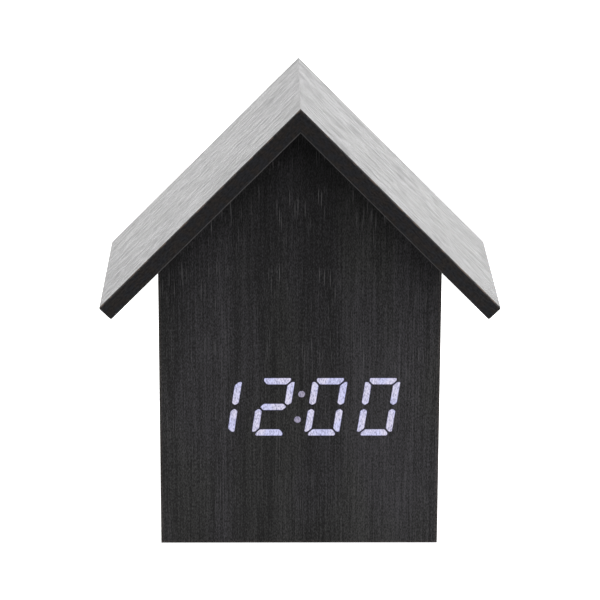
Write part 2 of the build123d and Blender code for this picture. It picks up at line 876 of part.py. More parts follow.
def battery_springs():
    """A folded leaf between each cell's flat end and its contact plate."""
    rise = spring_length - cell_contact_gap
    foot = spring_chord / 2
    crest = spring_crest / 2
    leg_thickness = spring_thickness * math.hypot(foot - crest, rise) / rise
    inner_rise = rise - spring_thickness
    inner_foot = foot - leg_thickness
    inner_crest = inner_foot - (foot - crest) * inner_rise / rise
    right_outer = [(foot, 0), (crest, rise)]
    right_inner = [(inner_crest, inner_rise), (inner_foot, 0)]
    left = [(-x, y) for x, y in reversed(right_inner + right_outer)]
    leaf = extrude(Polygon(*right_outer, *left, *right_inner), amount=spring_width / 2, both=True)
    for side, z in zip(cell_sides, cell_zs):
        plate_x = side * (contact_thickness - bay_half_length)
        yield Pos(plate_x, cell_axis_y, z) * Rot(0, 0, -side * 90) * leaf


# Main board

def main_board():
    half = board_length / 2
    board = wall(span(-half, half, board_bottom_z, board_top_z), board_front_y, board_back_y)
    for x, z in board_screw_places():
        board -= threaded_hole(x, z, board_front_y, board_back_y)
    return board


def button(x):
    """A round cap on an eight-sided flange that stops behind the cover, at rest."""
    shoulder_z = button_flange_thickness
    top_z = shoulder_z + button_rest_gap + cover_thickness + button_stand
    cap_radius = button_diameter / 2
    profile = Polygon(
        (0, shoulder_z),
        (cap_radius, shoulder_z),
        (cap_radius, top_z - button_bevel),
        (cap_radius - button_bevel, top_z),
        (0, top_z),
    )
    cap = revolve(Plane.XZ * profile, axis=Axis.Z)
    flange = RegularPolygon(button_flange_width / 2, button_flange_sides)
    cap += extrude(flange, amount=button_flange_thickness)
    return facing_back(x, cover_inner_y - button_rest_gap - button_flange_thickness, button_z) * cap


def plunger(x):
    tip_y = cover_inner_y - button_rest_gap - button_flange_thickness
    outline = Pos(x, button_z) * Rectangle(plunger_side, plunger_side)
    return wall(outline, board_back_y + switch_height - plunger_depth, tip_y)


def tact_switches():
    top_y = board_back_y + switch_height
    bore_bottom_y = top_y - plunger_depth - button_travel - plunger_end_room
    half = switch_side / 2
    outline = span(-half, half, -half, half)
    outline = chamfer(outline.vertices(), switch_corner_cut)
    bore_side = plunger_side + 2 * plunger_fit
    for x in button_xs:
        body = wall(Pos(x, button_z) * outline, board_back_y, top_y)
        yield body - wall(Pos(x, button_z) * Rectangle(bore_side, bore_side), bore_bottom_y, top_y)


def micro_usb_shell():
    outer = Pos(usb_x, usb_z) * usb_outline()
    inner = Pos(usb_x, usb_z) * offset(usb_outline(), amount=-usb_wall, kind=Kind.INTERSECTION)
    return wall(outer - inner, board_back_y, cover_outer_y - usb_recess)


def micro_usb_tongue():
    base = Pos(usb_x, usb_z) * offset(usb_outline(), amount=-usb_wall - usb_base_fit, kind=Kind.INTERSECTION)
    tongue = Pos(usb_x, usb_z + usb_tongue_offset) * Rectangle(usb_tongue_width, usb_tongue_thickness)
    base_top_y = board_back_y + usb_base_depth
    tongue_tip_y = cover_outer_y - usb_recess - usb_tongue_recess
    return wall(base, board_back_y, base_top_y) + wall(tongue, base_top_y, tongue_tip_y)


def buzzer():
    top_y = board_back_y + buzzer_height
    body = post(buzzer_x, buzzer_z, buzzer_diameter, board_back_y, top_y)
    return body - post(buzzer_x, buzzer_z, buzzer_port_diameter, top_y - buzzer_port_depth, top_y)


def microphone():
    top_y = board_back_y + microphone_height
    return post(microphone_x, microphone_z, microphone_diameter, board_back_y, top_y)


def thermistor():
    """A small disc on two legs."""
    z = board_bottom_z + thermistor_rise
    disc_y = board_back_y + thermistor_leg_length
    sensor = Pos(thermistor_x, disc_y, z) * Cylinder(thermistor_disc_diameter / 2, thermistor_disc_thickness)
    leg = Rectangle(thermistor_leg_side, thermistor_leg_side)
    for side in (-1, 1):
        leg_x = thermistor_x + side * thermistor_leg_spacing / 2
        sensor += wall(Pos(leg_x, z) * leg, board_back_y, disc_y)
    return sensor


def controller_chip():
    chip = gull_wing_chip(controller_length, controller_width, controller_height, controller_lead_count)
    return facing_front(0, board_front_y, board_bottom_z + controller_rise) * chip


def clock_crystal():
    axis_y = board_front_y - crystal_gap - crystal_diameter / 2
    can = Cylinder(crystal_diameter / 2, crystal_length)
    return Pos(crystal_x, axis_y, board_bottom_z + crystal_rise) * Rot(0, 90, 0) * can


def capacitors():
    can = Cylinder(capacitor_diameter / 2, capacitor_height, align=standing)
    z = board_bottom_z + capacitor_rise
    return [facing_front(capacitor_x + i * capacitor_pitch, board_front_y, z) * can for i in range(2)]


def battery_lead(place):
    """A wire from a solder tag, in a loop behind the bay, to its pad on the main board."""
    x, tag_z = place
    x -= math.copysign(contact_thickness / 2, x)
    tag_tip_y = bay_outer_y - contact_tag_length
    loop_y = tag_tip_y - lead_bend_radius - lead_straight
    pad_z = board_bottom_z + lead_pad_rise
    points = [(x, tag_tip_y, tag_z), (x, loop_y, tag_z), (x, loop_y, pad_z), (x, board_front_y, pad_z)]
    path = FilletPolyline(*points, radius=lead_bend_radius)
    section = Plane(path @ 0, z_dir=path % 0) * RegularPolygon(lead_diameter / 2, lead_sides)
    return sweep(section, path=path)


def assembly():
    """Every node by name."""
    roof_right = roof_board_right()
    negative_tag, positive_tag = tag_places()
    nodes = {
        "front_veneer": front_veneer(),
        "front_panel": front_panel(),
        "left_side_panel": side_panel("left"),
        "right_side_panel": side_panel("right"),
        "base_panel": base_panel(),
        "back_panel": back_panel(),
        "roof_board_left": mirror(roof_right, about=Plane.YZ),
        "roof_board_right": roof_right,
        "ridge_batten": ridge_batten(),
        "cover_screw_blocks": group(glue_blocks()),
        "display_reflector": display_reflector(),
        "display_segments": group(display_segments()),
        "display_pcb": display_board(),
        "led_chips": group(led_chips()),
        "display_driver_chip": display_driver_chip(),
        "display_connector": display_connector(),
        "display_spacers": group(display_spacers()),
        "display_screws": group(display_screws()),
        "rear_cover": rear_cover(),
        "rear_cover_screws": group(rear_cover_screws()),
        "battery_door": battery_door(),
        "battery_contacts": group(battery_contacts()),
        "battery_springs": group(battery_springs()),
        "main_pcb": main_board(),
        "main_pcb_screws": group(main_board_screws()),
        "tact_switches": group(tact_switches()),
        "micro_usb_shell": micro_usb_shell(),
        "micro_usb_tongue": micro_usb_tongue(),
        "buzzer": buzzer(),
        "microphone": microphone(),
        "thermistor": thermistor(),
        "controller_chip": controller_chip(),
        "clock_crystal": clock_crystal(),
        "capacitors": group(capacitors()),
        "main_connector": main_connector(),
        "ribbon_cable": ribbon_cable(),
        "positive_lead": battery_lead(positive_tag),
        "negative_lead": battery_lead(negative_tag),
    }
    for i in range(cell_count):
        nodes[f"battery_cell_{i + 1}"] = battery_cell(i)
    for name, x in zip(button_names, button_xs):
        nodes[f"{name}_button"] = button(x)
        nodes[f"{name}_plunger"] = plunger(x)
    return nodes


os.makedirs("parts", exist_ok=True)
for node_name, shape in assembly().items():
    export_step(shape, f"parts/{node_name}.step")
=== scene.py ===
import json
import math

import bmesh
import bpy
from mathutils import Matrix, Vector


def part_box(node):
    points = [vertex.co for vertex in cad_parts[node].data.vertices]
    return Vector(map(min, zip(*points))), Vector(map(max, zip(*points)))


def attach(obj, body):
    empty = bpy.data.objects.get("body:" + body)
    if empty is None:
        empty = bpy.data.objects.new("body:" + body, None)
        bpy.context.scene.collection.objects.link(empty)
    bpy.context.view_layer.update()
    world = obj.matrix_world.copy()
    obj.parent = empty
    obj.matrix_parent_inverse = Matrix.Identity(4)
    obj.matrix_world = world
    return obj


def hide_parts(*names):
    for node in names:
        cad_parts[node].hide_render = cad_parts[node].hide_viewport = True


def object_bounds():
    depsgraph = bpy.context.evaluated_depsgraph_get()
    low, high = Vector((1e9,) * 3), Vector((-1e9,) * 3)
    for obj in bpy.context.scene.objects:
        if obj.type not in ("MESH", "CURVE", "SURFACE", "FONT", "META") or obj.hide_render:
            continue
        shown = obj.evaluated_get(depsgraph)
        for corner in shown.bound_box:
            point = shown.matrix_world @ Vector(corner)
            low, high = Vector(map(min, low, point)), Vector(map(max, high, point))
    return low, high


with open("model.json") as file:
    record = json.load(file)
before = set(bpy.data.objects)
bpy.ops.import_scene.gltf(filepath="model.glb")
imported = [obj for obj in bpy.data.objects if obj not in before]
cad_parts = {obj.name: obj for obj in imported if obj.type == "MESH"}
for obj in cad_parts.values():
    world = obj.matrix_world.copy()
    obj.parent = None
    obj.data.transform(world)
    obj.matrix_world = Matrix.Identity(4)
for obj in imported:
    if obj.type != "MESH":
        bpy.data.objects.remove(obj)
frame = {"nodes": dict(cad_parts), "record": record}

# A house-shaped clock in black wood veneer, with lit digits that shine through its front.
# Lengths are in metres and angles in degrees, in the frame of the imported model. Colours are linear.
# A noise is given by its features per metre along X, Y and Z and its octaves, and some also by the strength
# of the finer octaves and a shift in features. A range is the span of a value over which a thing fades in.
cad_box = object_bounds()

# Camera, set to the photograph's view
camera_place = Vector((-0.009598, -0.936603, 0.368318))
camera_yaw = -0.6115
camera_pitch = -17.2531
camera_roll = 0.1741
camera_lens = 168.414
camera_near = 0.01
camera_far = 100.0
sensor_width = 36.0

# Floor and surroundings
floor_side = 12.0
floor_drop = 0.0002
floor_roughness = 0.9
floor_white = (0.75, 0.75, 0.75, 1)
floor_shade = (0.20, 0.20, 0.20, 1)
floor_shade_start = -0.15
floor_shade_end = -0.60
floor_seen = (1.0, 1.0, 1.0, 1)
world_seen = (1.0, 1.0, 1.0, 1)
world_fill = (0.04, 0.04, 0.041, 1)

# Soft lights: place, target, width, height and radiance
lights = {
    "back_left": ((-0.6, 0.75, 0.35), (-0.6, 0, 0.35), 1.2, 0.7, 2.32),
    "back_right": ((0.6, 0.75, 0.35), (0.6, 0, 0.35), 1.2, 0.7, 2.44),
    "eave_left": ((-0.45, 0.70, 0.06), (-0.45, 0, 0.06), 0.30, 0.12, 0.5),
    "eave_right": ((0.45, 0.70, 0.06), (0.45, 0, 0.06), 0.30, 0.12, 1.1),
    "overhead": ((0, -0.10, 1.10), (0, -0.10, 0), 1.2, 0.5, 2.6),
    "left_side": ((-0.9, -0.25, 0.4), (0, 0, 0.1), 0.7, 0.7, 4.0),
    "right_side": ((0.9, -0.25, 0.4), (0, 0, 0.1), 0.7, 0.7, 6.0),
}

# Wood veneer: gloss and colours
veneer_ior = 1.20
wall_roughness = 0.50
roof_roughness = 0.29
roof_tilt = 45
# The colour a wall is darkened towards: painted shade in the gable and close under the roof, and a darker
# middle
veneer_shade = (0.0020, 0.0020, 0.0024, 1)
veneer_dark = (0.0186, 0.0182, 0.0184, 1)
veneer_light = (0.1000, 0.0990, 0.0980, 1)
veneer_violet = (0.1015, 0.0970, 0.1070, 1)
veneer_dash = (0.180, 0.177, 0.182, 1)
veneer_rubbed = (0.1250, 0.1010, 0.0880, 1)
# Painted highlight along the lower corner of the roof boards' ends
veneer_lower_edge_highlight = (0.070, 0.068, 0.069, 1)
veneer_bare = (0.085, 0.060, 0.046, 1)
edge_black = (0.0150, 0.0145, 0.0155, 1)
edge_brown = (0.0390, 0.0330, 0.0300, 1)
edge_blue = (0.0310, 0.0320, 0.0370, 1)

# Wood veneer: the noises of its grain, which runs along Z, and of the paint on the roof's edges
veneer_noises = {
    "bands": ((70, 70, 4), 3, 0.5, (6.37, 0.0, 16.8)),
    "fibres": ((2600, 2600, 40), 2),
    "specks": ((3700, 3700, 1300), 1),
    "patches": ((90, 90, 40), 1),
    "rings": ((540, 540, 60), 2, 0.6),
    "pores": ((1500, 1500, 260), 1),
    "tints": ((45, 45, 14), 1),
}
edge_noises = {
    "mottle": ((1900, 1900, 900), 4, 0.7),
    "tints": ((420, 420, 300), 2),
}

# Wood veneer: cuts in the grain, as strokes per metre across and along it, and their width in spacings
long_cuts = (1400, 40, 0.17)
short_cuts = (1700, 110, 0.20)
cut_core_share = 1 / 3
cut_chance_range = (0.25, 0.75)

# Wood veneer: how the noises add up
roof_tone_weights = {"fibres": 0.38, "bands": 0.20, "rings": -0.26, "pores": -0.26}
roof_tone_lift = 0.47
wall_tone_weights = {"specks": 0.44, "fibres": 0.28, "bands": 0.28}
cut_weights = {"long": 0.80, "short": 0.30}
gloss_weights = {"rings": 0.30, "pores": 0.36}
gloss_mean = 0.33
gloss_dip = 0.035
height_weights = {"fibres": 0.5, "specks": 0.3, "pores": -0.6, "cuts": -0.5}
grain_depth = 0.00005
tone_range = (0.38, 0.76)
tint_range = (0.42, 0.58)
# Span of the specks over which the painted shade's colour goes from deepest to the dark veneer
shade_speck_range = (0.36, 0.76)
patch_range = (0.34, 0.62)

# Wood veneer: painted shade on a wall in the gable and close under the roof, and a darker middle
# A wall is darker up its middle, more so higher up
middle_dark_half_width = 0.045
middle_dark_top = 0.09
middle_darkening = 0.16
middle_dark_foot_share = 0.6
middle_dark_top_share = 1.3
# Painted shade in the gable, deepening towards the ridge
gable_start = 0.050
gable_end = 0.140
gable_shade = 0.42
# Painted shadow in a narrow band along the underside of the roof
eaves_start = 0.136
eaves_end = 0.1445
eaves_shade = 0.24

# Wood veneer: how much the cuts show, low down and high up
cuts_start = 0.04
cuts_end = 0.12
cuts_low_share = 0.35
cuts_high_share = 0.9

# Wood veneer: wall corners, and the roof's painted edges with a painted highlight on their lower corner
arris_radius = 0.0004
arris_wear = 0.0018
arris_range = (0.35, 0.6)
arris_share = 0.7
facing_range = (0.30, 0.60)
paint_range = (0.32, 0.68)
paint_tint_range = (0.38, 0.62)
bare_range = (0.50, 0.60)
# How strongly the painted highlight shows on that lower corner
lower_edge_highlight_share = 0.8

# Shared by several finishes: spans of a noise, and how edges are rounded and found
wide_range = (0.3, 0.7)
narrow_range = (0.35, 0.65)
edge_samples = 6
edge_cosine_range = (0.995, 0.80)

# Raw fibreboard
fibre_noises = {"flecks": ((900, 900, 900), 4, 0.7), "clouds": ((60, 60, 60), 2)}
fibre_weights = {"flecks": 0.7, "clouds": 0.3}
fibre_dark = (0.26, 0.17, 0.10, 1)
fibre_light = (0.44, 0.31, 0.20, 1)
fibre_roughness = 0.85
fibre_depth = 0.00008
fibre_edge = 0.0002

# Moulded plastics: material, darker and lighter colour, least and greatest roughness
plastics = {
    "black_moulding": ("black_moulding", (0.018, 0.018, 0.019, 1), (0.022, 0.022, 0.023, 1), 0.42, 0.62),
    "button_plastic": ("button_plastic", (0.030, 0.030, 0.032, 1), (0.044, 0.044, 0.046, 1), 0.34, 0.50),
    "reflector_plastic": ("white_reflector", (0.64, 0.64, 0.62, 1), (0.76, 0.76, 0.74, 1), 0.40, 0.60),
    "light_guide": ("milky_light_guide", (0.78, 0.76, 0.86, 1), (0.90, 0.88, 0.96, 1), 0.12, 0.24),
    "led_package": ("led_package", (0.78, 0.70, 0.30, 1), (0.94, 0.88, 0.50, 1), 0.15, 0.30),
    "chip_epoxy": ("chip_epoxy", (0.022, 0.022, 0.024, 1), (0.040, 0.040, 0.042, 1), 0.55, 0.75),
    "white_nylon": ("white_nylon", (0.70, 0.68, 0.61, 1), (0.84, 0.82, 0.76, 1), 0.40, 0.60),
    "plunger_plastic": ("plunger_plastic", (0.040, 0.040, 0.042, 1), (0.060, 0.060, 0.062, 1), 0.35, 0.55),
    "cell_sleeve": ("cell_sleeve", (0.020, 0.045, 0.110, 1), (0.030, 0.060, 0.140, 1), 0.14, 0.24),
    "ribbon_sheath": ("ribbon_sheath", (0.30, 0.30, 0.31, 1), (0.42, 0.42, 0.43, 1), 0.45, 0.65),
    "red_sheath": ("red_sheath", (0.38, 0.020, 0.020, 1), (0.52, 0.040, 0.035, 1), 0.35, 0.55),
    "black_sheath": ("black_sheath", (0.014, 0.014, 0.014, 1), (0.028, 0.028, 0.028, 1), 0.35, 0.55),
}
mould_texture = ((2600, 2600, 2600), 2)
mould_clouds = ((90, 90, 90), 3)
mould_depth = 0.00002
mould_edge = 0.0002
mould_rub = 0.15

# Metals: material, darker and lighter colour, least and greatest roughness, and drawn lines per metre
metals = {
    "zinc_steel": ("zinc_plated_steel", (0.48, 0.49, 0.52, 1), (0.62, 0.63, 0.66, 1), 0.22, 0.36,
                   (3200, 3200, 3200)),
    "nickel_strip": ("nickel_strip", (0.56, 0.53, 0.48, 1), (0.76, 0.73, 0.67, 1), 0.16, 0.34,
                     (300, 300, 3500)),
    "component_can": ("component_can", (0.52, 0.52, 0.53, 1), (0.72, 0.72, 0.73, 1), 0.25, 0.42,
                      (200, 2500, 200)),
}
metal_octaves = 3
metal_breakup = 0.6
metal_stains = ((250, 250, 250), 2)
metal_weights = {"lines": 0.6, "stains": 0.4}
metal_depth = 0.000008
metal_edge = 0.0001

# Circuit boards
board_tracks = ((700, 700, 60), 0)
board_cross_tracks = ((60, 700, 700), 0)
board_track_range = (0.52, 0.55)
board_mask = (0.010, 0.070, 0.028, 1)
board_track_mask = (0.030, 0.150, 0.055, 1)
board_roughness = 0.42
board_track_roughness = 0.32
board_track_height = 0.00003
board_edge = 0.0001

# Lit digits
display_text = "1200"
digit_lean = 8.5
glow_stand = 0.00003
glow_corner = 0.00018
glow_corner_steps = 3
glow_fringe = 0.00013
glow_fibres = ((3400, 3400, 1200), 1)
glow_lamps = ((150, 150, 110), 1)
glow_fibre_range = (0.22, 0.64)
glow_lamp_range = (0.38, 0.62)
glow_smooth = 0.5
glow_rough = 0.7
glow_base = (0.02, 0.02, 0.022, 1)
glow_dim = (0.290, 0.290, 0.450, 1)
glow_cool = (0.640, 0.650, 0.930, 1)
glow_warm = (0.740, 0.710, 0.880, 1)
fringe_dim = (0.040, 0.038, 0.090, 1)
fringe_cool = (0.100, 0.098, 0.215, 1)
fringe_warm = (0.118, 0.106, 0.205, 1)
colon_dim = (0.140, 0.128, 0.210, 1)
colon_cool = (0.340, 0.320, 0.480, 1)
colon_warm = (0.390, 0.360, 0.470, 1)

# The bars of a digit, column by column from the left, each column from the bottom up
bar_corners = 6
bar_columns = (("lower_left", "upper_left"), ("bottom", "middle", "top"), ("lower_right", "upper_right"))
lit_bars = {
    "0": ("top", "upper_left", "upper_right", "lower_left", "lower_right", "bottom"),
    "1": ("upper_right", "lower_right"),
    "2": ("top", "upper_right", "middle", "lower_left", "bottom"),
}

# Turned pieces
turn_steps = 72
roll_steps = 6
dome_steps = 8
sharp_angle = 40.0
turn_merge = 1e-7
out_of_back = Matrix.Rotation(math.radians(-90), 4, "X")

# Buttons
button_nodes = ("set_button", "up_button", "down_button")
button_cap_radius = 0.0035
button_flange_radius = 0.0041
button_flange_depth = 0.0010
button_edge = 0.0007
button_dish = 0.0003

# Battery cells, with the side along X that each one's positive end is on
cell_nub_sides = {"battery_cell_1": 1, "battery_cell_2": -1, "battery_cell_3": 1}
cell_nub_radius = 0.0019
cell_nub_depth = 0.0010
cell_nub_roll = 0.0003
cell_sleeve_roll = 0.0006
cell_lip_width = 0.0012
cell_lip_depth = 0.0003
cell_end_inset = 0.00015
cell_band_start = 0.0030
cell_band_end = 0.0095
cell_band_sink = 0.00015
cell_band_stand = 0.00002

# Screws of the rear cover
screw_head_radius = 0.0022
screw_head_height = 0.0016
screw_head_roll = 0.0003
screw_head_dome = 0.0005
screw_shank_radius = 0.00105
screw_cross_length = 0.0026
screw_cross_width = 0.0008
screw_cross_taper = 0.4
screw_cross_depth = 0.0011
screw_merge = 2e-6
screw_turns = (20, 65, 100, 40)

# Moulded marks above the buttons, with outlines in shares of half their size
mark_size = 0.0017
mark_rise = 0.0066
mark_height = 0.00015
mark_shares = {
    "set_button": [(-1, -0.3), (1, -0.3), (1, 0.3), (-1, 0.3)],
    "up_button": [(-1, -0.7), (1, -0.7), (0, 0.9)],
    "down_button": [(-1, 0.7), (0, -0.9), (1, 0.7)],
}

# Light guides, whose outlines the lit bars take
guide_merge = 1e-6

# Sockets of a Mix node that mixes colours, which share their names with others
mix_share = 0
mix_first = 6
mix_second = 7
mix_result = 2


# Nodes

class Graph:
    """The nodes of one material: each method adds a node and gives its output."""

    def __init__(self, name):
        self.material = bpy.data.materials.new(name)
        self.material.use_nodes = True
        self.tree = self.material.node_tree
        self.tree.nodes.clear()
        self.shader = self.tree.nodes.new("ShaderNodeBsdfPrincipled")
        output = self.tree.nodes.new("ShaderNodeOutputMaterial")
        self.tree.links.new(self.shader.outputs["BSDF"], output.inputs["Surface"])

    def feed(self, socket, value):
        """Links a socket to an output, or sets it to a plain value."""
        if isinstance(value, bpy.types.NodeSocket):
            self.tree.links.new(value, socket)
        else:
            socket.default_value = value

    def node(self, kind, inputs, output=0, **settings):
        made = self.tree.nodes.new(kind)
        for name, value in settings.items():
            setattr(made, name, value)
        for socket, value in inputs.items():
            self.feed(made.inputs[socket], value)
        return made.outputs[output]

    def surface(self, **sockets):
        """Feeds the shader's sockets, whose names have _ for a space, and gives the finished material."""
        for name, value in sockets.items():
            self.feed(self.shader.inputs[name.replace("_", " ")], value)
        return self.material

    def place(self, tilt=0.0):
        """Where a point is on the object, turned about Y so that a grain at that tilt runs along Z."""
        point = self.node("ShaderNodeTexCoord", {}, output="Object")
        turn = (0, math.radians(tilt), 0)
        return self.node("ShaderNodeMapping", {"Vector": point, "Rotation": turn})

    def noise(self, where, stretch, octaves, breakup=0.5, shift=(0, 0, 0)):
        """A noise with that many features per metre along X, Y and Z, shifted by so many features."""
        sums = {0: where, 1: stretch, 2: shift}
        scaled = self.node("ShaderNodeVectorMath", sums, operation="MULTIPLY_ADD")
        sockets = {"Vector": scaled, "Scale": 1.0, "Detail": octaves, "Roughness": breakup}
        return self.node("ShaderNodeTexNoise", sockets)

    def noises(self, where, table):
        return {name: self.noise(where, *settings) for name, settings in table.items()}

    def fade(self, value, start, end, low=0.0, high=1.0):
        """A value between start and end, taken smoothly to between low and high."""
        sockets = {"Value": value, "From Min": start, "From Max": end, "To Min": low, "To Max": high}
        return self.node("ShaderNodeMapRange", sockets, interpolation_type="SMOOTHSTEP")

    def calculate(self, operation, first, second=0.0):
        return self.node("ShaderNodeMath", {0: first, 1: second}, operation=operation)

    def sum(self, first, second):
        return self.calculate("ADD", first, second)

    def product(self, first, second):
        return self.calculate("MULTIPLY", first, second)

    def magnitude(self, value):
        """A value without its sign."""
        return self.calculate("ABSOLUTE", value)

    def blend(self, values, weights, lift=0.0):
        """The sum of the values that have a weight, each times its weight, and of the lift."""
        total = lift
        for name, weight in weights.items():
            total = self.sum(total, self.product(values[name], weight))
        return total

    def mix(self, share, first, second):
        sockets = {mix_share: share, mix_first: first, mix_second: second}
        return self.node("ShaderNodeMix", sockets, output=mix_result, data_type="RGBA")

    def along(self, vector, direction):
        sockets = {0: vector, 1: direction}
        return self.node("ShaderNodeVectorMath", sockets, output="Value", operation="DOT_PRODUCT")

    def facing(self, direction):
        """How far the surface faces a direction, from -1 to 1."""
        return self.along(self.node("ShaderNodeNewGeometry", {}, output="Normal"), direction)

    def strokes(self, where, across, lengthways, width):
        """Short strokes along Z, that many per metre across and along, each of its own strength."""
        sheet = self.node("ShaderNodeCombineXYZ", {
            "X": self.along(where, (across, across, 0)),
            "Y": self.along(where, (0, 0, lengthways)),
        })
        cells = {"Vector": sheet, "Scale": 1.0}
        distance = self.node("ShaderNodeTexVoronoi", cells, output="Distance", voronoi_dimensions="2D")
        chance = self.node("ShaderNodeTexVoronoi", cells, output="Color", voronoi_dimensions="2D")
        stroke = self.fade(distance, width, width * cut_core_share)
        return self.product(stroke, self.fade(chance, *cut_chance_range))

    def rounded(self, radius):
        """The normal with sharp edges rounded off."""
        return self.node("ShaderNodeBevel", {"Radius": radius}, samples=edge_samples)

    def near_edge(self, radius):
        """1 on sharp edges, falling to 0 at a radius from them."""
        return self.fade(self.facing(self.rounded(radius)), *edge_cosine_range)

    def bump(self, height, distance, normal=None):
        sockets = {"Height": height, "Distance": distance, "Strength": 1.0}
        if normal:
            sockets["Normal"] = normal
        return self.node("ShaderNodeBump", sockets)


# Materials

def fresh_cuts(graph, place, patches):
    """Pale short strokes where the grain has been cut open, more of them in some patches."""
    cuts = {"long": graph.strokes(place, *long_cuts), "short": graph.strokes(place, *short_cuts)}
    return graph.product(graph.blend(cuts, cut_weights), graph.fade(patches, *patch_range))


def painted_wall_shade(graph, place, level):
    """Painted shade on a wall, deeper in the gable and close under the roof; darker up its middle too."""
    aside = graph.magnitude(graph.along(place, (1, 0, 0)))
    middle_dark = graph.product(graph.fade(aside, 0, middle_dark_half_width, middle_darkening, 0),
                          graph.fade(level, 0, middle_dark_top, middle_dark_foot_share, middle_dark_top_share))
    gable = graph.fade(level, gable_start, gable_end, 0, gable_shade)
    eaves = graph.fade(graph.sum(aside, level), eaves_start, eaves_end, 0, eaves_shade)
    return graph.sum(graph.sum(gable, middle_dark), eaves)


def rubbed_corners(graph, colour, specks):
    """A wall's colour, with its sharp corners rubbed pale in specks."""
    rubbed = graph.product(graph.near_edge(arris_wear), graph.fade(specks, *arris_range))
    return graph.mix(graph.product(rubbed, arris_share), colour, veneer_rubbed)


def painted_edges(graph, colour, place, roof_normal):
    """A roof board's colour: mottled paint on its ends, bare upper corner, painted highlight on the lower.
    """
    paint_noises = graph.noises(place, edge_noises)
    ends = graph.fade(graph.magnitude(graph.facing((0, 1, 0))), *facing_range)
    upper = graph.product(ends, graph.fade(graph.facing(roof_normal), *facing_range))
    lower = graph.product(ends, graph.fade(graph.facing(-roof_normal), *facing_range))
    paint = graph.mix(graph.fade(paint_noises["tints"], *paint_tint_range), edge_brown, edge_blue)
    paint = graph.mix(graph.fade(paint_noises["mottle"], *paint_range), edge_black, paint)
    colour = graph.mix(ends, colour, paint)
    bare = graph.product(upper, graph.fade(paint_noises["tints"], *bare_range))
    colour = graph.mix(bare, colour, veneer_bare)
    # A painted highlight along the ends' lower corner
    return graph.mix(graph.product(lower, lower_edge_highlight_share), colour, veneer_lower_edge_highlight)


def veneer(name, tilt, roughness, roof_normal=None):
    """Black-stained open-grained veneer: broad bands, fine fibres, and short pores along the grain."""
    graph = Graph(name)
    place = graph.place(tilt)
    level = graph.along(place, (0, 0, 1))
    grain = graph.noises(place, veneer_noises)
    grain["cuts"] = fresh_cuts(graph, place, grain["patches"])
    if roof_normal:
        tone = graph.blend(grain, roof_tone_weights, roof_tone_lift)
    else:
        tone = graph.blend(grain, wall_tone_weights)
    light = graph.mix(graph.fade(grain["tints"], *tint_range), veneer_light, veneer_violet)
    colour = graph.mix(graph.fade(tone, *tone_range), veneer_dark, light)
    # Walls: painted shade in the gable and close under the roof, and a darker middle
    if not roof_normal:
        shade_colour = graph.mix(graph.fade(grain["specks"], *shade_speck_range), veneer_shade, veneer_dark)
        colour = graph.mix(painted_wall_shade(graph, place, level), colour, shade_colour)
    cut_share = graph.fade(level, cuts_start, cuts_end, cuts_low_share, cuts_high_share)
    colour = graph.mix(graph.product(grain["cuts"], cut_share), colour, veneer_dash)
    gloss = graph.blend(grain, gloss_weights, roughness - gloss_mean)
    gloss = graph.calculate("MAXIMUM", gloss, roughness - gloss_dip)
    height = graph.blend(grain, height_weights)
    if roof_normal:
        colour = painted_edges(graph, colour, place, roof_normal)
        normal = graph.bump(height, grain_depth)
    else:
        colour = rubbed_corners(graph, colour, grain["specks"])
        normal = graph.bump(height, grain_depth, graph.rounded(arris_radius))
    return graph.surface(Base_Color=colour, Roughness=gloss, IOR=veneer_ior, Normal=normal)


def fibreboard():
    """Raw board: pale flecks of fibre, and clouds in its tone."""
    graph = Graph("raw_fibreboard")
    board = graph.noises(graph.place(), fibre_noises)
    tone = graph.blend(board, fibre_weights)
    colour = graph.mix(graph.fade(tone, *narrow_range), fibre_dark, fibre_light)
    normal = graph.bump(board["flecks"], fibre_depth, graph.rounded(fibre_edge))
    return graph.surface(Base_Color=colour, Roughness=fibre_roughness, Normal=normal)


def moulded(name, dark, light, smooth, rough):
    """Plastic from a spark-eroded mould: a fine even texture and a faint cloud in its tone."""
    graph = Graph(name)
    place = graph.place()
    texture = graph.noise(place, *mould_texture)
    clouds = graph.noise(place, *mould_clouds)
    colour = graph.mix(graph.fade(clouds, *wide_range), dark, light)
    rubbed = graph.product(graph.near_edge(mould_edge), mould_rub)
    roughness = graph.calculate("SUBTRACT", graph.fade(texture, *wide_range, smooth, rough), rubbed)
    normal = graph.bump(texture, mould_depth, graph.rounded(mould_edge))
    return graph.surface(Base_Color=colour, Roughness=roughness, Normal=normal)


def metal(name, dark, light, smooth, rough, stretch):
    """Bare metal with stains and fine drawn lines, closest across the way that the stretch is largest."""
    graph = Graph(name)
    place = graph.place()
    layers = {
        "lines": graph.noise(place, stretch, metal_octaves, metal_breakup),
        "stains": graph.noise(place, *metal_stains),
    }
    tone = graph.blend(layers, metal_weights)
    colour = graph.mix(graph.fade(tone, *narrow_range), dark, light)
    roughness = graph.fade(tone, *wide_range, smooth, rough)
    normal = graph.bump(layers["lines"], metal_depth, graph.rounded(metal_edge))
    return graph.surface(Base_Color=colour, Roughness=roughness, Metallic=1.0, Normal=normal)


def circuit_board():
    """Green solder mask over faint straight tracks."""
    graph = Graph("green_circuit_board")
    place = graph.place()
    tracks = graph.fade(graph.noise(place, *board_tracks), *board_track_range)
    cross_tracks = graph.fade(graph.noise(place, *board_cross_tracks), *board_track_range)
    copper = graph.calculate("MAXIMUM", tracks, cross_tracks)
    colour = graph.mix(copper, board_mask, board_track_mask)
    roughness = graph.fade(copper, 0, 1, board_roughness, board_track_roughness)
    normal = graph.bump(copper, board_track_height, graph.rounded(board_edge))
    return graph.surface(Base_Color=colour, Roughness=roughness, Normal=normal)


